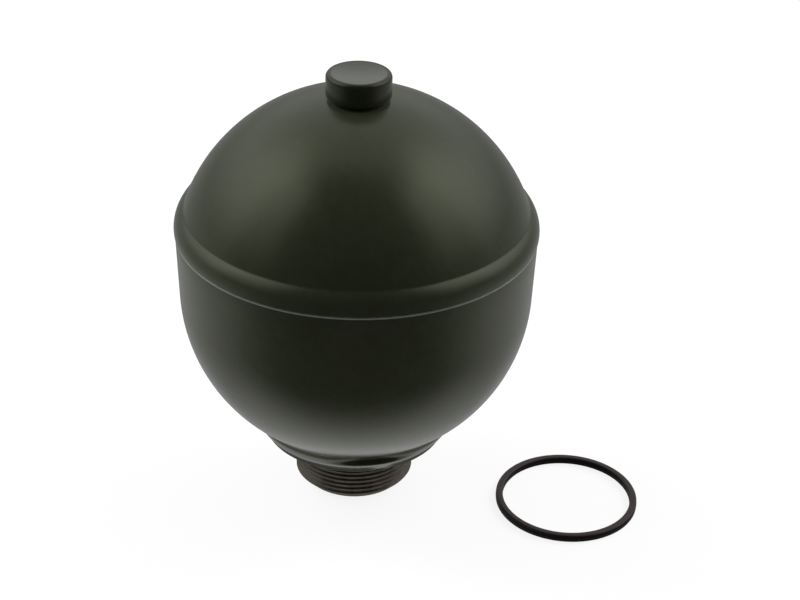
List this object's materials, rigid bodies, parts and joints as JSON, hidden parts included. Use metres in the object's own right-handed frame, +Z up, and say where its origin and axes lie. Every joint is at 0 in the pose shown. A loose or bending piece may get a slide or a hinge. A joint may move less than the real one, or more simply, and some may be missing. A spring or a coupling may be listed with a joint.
{
  "type": "diaphragm accumulator",
  "caption": "Welded steel diaphragm accumulator with a domed gas shell, a round oil shell, a threaded port neck, a filler plug and a loose port seal ring.",
  "frame": {"origin": "centre of the neck's end face, on the axis of the oil bore", "axes": "+Z up along the axis from the port neck to the filler plug, +X towards the side on which the loose seal ring lies, -Y to the front"},
  "size_m": [0.1366, 0.1038, 0.131],
  "materials": {
    "shell_paint": "satin olive paint",
    "plug_paint": "satin olive paint",
    "neck_steel": "dull brown-black phosphated steel",
    "inner_steel": "turned steel",
    "diaphragm_rubber": "matt moulded rubber",
    "seal_rubber": "satin moulded rubber"
  },
  "bodies": {
    "housing": {"port_neck": "neck_steel", "oil_shell": "shell_paint", "gas_shell": "shell_paint", "diaphragm": "diaphragm_rubber", "retaining_ring": "inner_steel", "filler_plug": "plug_paint", "plug_seal": "seal_rubber", "port_seal": "seal_rubber"},
    "button": {"closing_button": "inner_steel", "button_plate": "inner_steel"}
  },
  "joints": [
    {"name": "diaphragm_stroke", "type": "slide", "parent": "housing", "child": "button", "axis": [0, 0, 1], "range_m": [0, 0.056], "stiffness_N_per_m": 20, "deforming": ["diaphragm"]}
  ]
}
